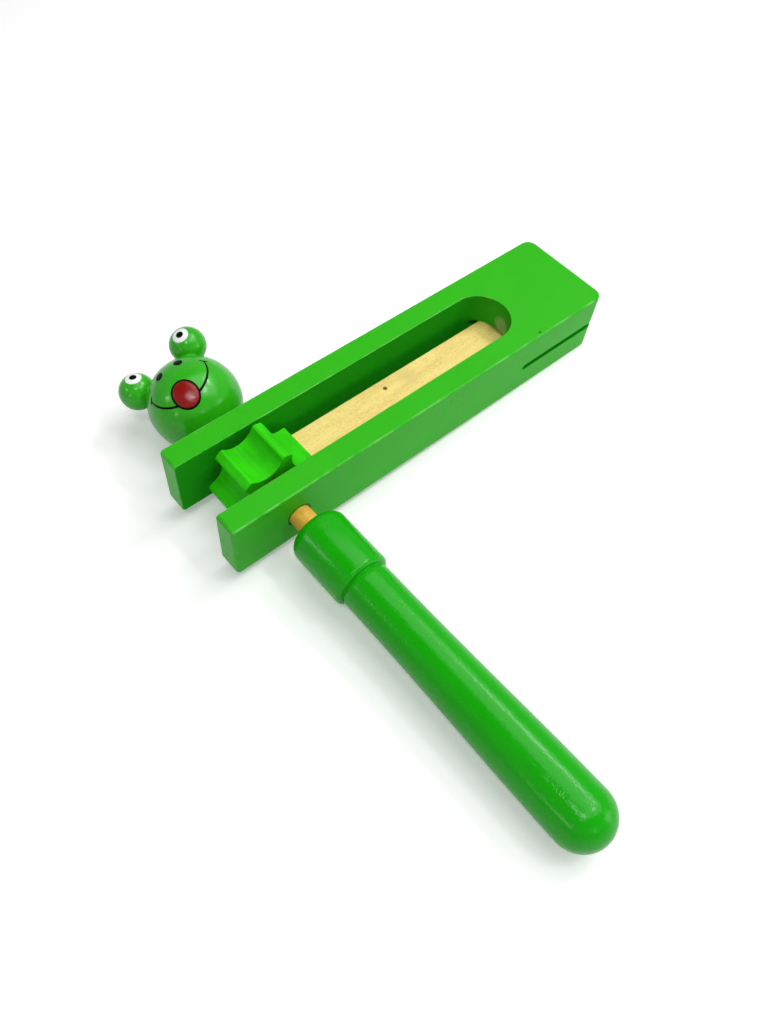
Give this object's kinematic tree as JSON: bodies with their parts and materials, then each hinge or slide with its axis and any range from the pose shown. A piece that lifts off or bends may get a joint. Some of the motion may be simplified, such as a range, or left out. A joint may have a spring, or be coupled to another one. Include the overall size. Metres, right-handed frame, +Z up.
{
  "type": "ratchet rattle",
  "caption": "Wooden ratchet rattle: a slotted frame whirls on a dowel with a turned handle, and its thin reed clicks over a lobed wheel; a frog's-head ball caps the dowel.",
  "frame": {"origin": "on the dowel's axis, at the middle of the handle's collar", "axes": "+X along the frame to its tail, +Y along the dowel to the frog's head, +Z up"},
  "size_m": [0.1294, 0.1647, 0.025],
  "materials": {
    "frame_paint": "satin green paint on wood",
    "wheel_paint": "satin yellowish green paint on wood",
    "handle_paint": "gloss green paint on turned wood",
    "head_paint": "gloss green paint on a wooden ball",
    "reed_wood": "bare pale wood, fine lengthwise grain",
    "dowel_wood": "bare golden wood",
    "white_paint": "gloss white paint",
    "black_paint": "gloss black paint",
    "red_paint": "gloss red paint"
  },
  "bodies": {
    "handle": {"handle": "handle_paint", "axle": "dowel_wood", "ratchet_wheel": "wheel_paint", "head": "head_paint", "eye_left": "head_paint", "eye_right": "head_paint", "eye_peg_left": "dowel_wood", "eye_peg_right": "dowel_wood"},
    "frame": {"frame_block": "frame_paint"},
    "reed": {"reed": "reed_wood"}
  },
  "joints": [
    {"name": "whirl", "type": "hinge", "parent": "handle", "child": "frame", "pos_m": [0, 0.0299, 0], "axis": [0, -1, 0], "continuous": true},
    {"name": "reed_flex", "type": "hinge", "parent": "frame", "child": "reed", "pos_m": [0.0837, 0.0299, -0.0004], "axis": [0, -1, 0], "range_deg": [0, 4], "stiffness_Nm_per_rad": 2.2, "deforming": ["reed"]}
  ]
}
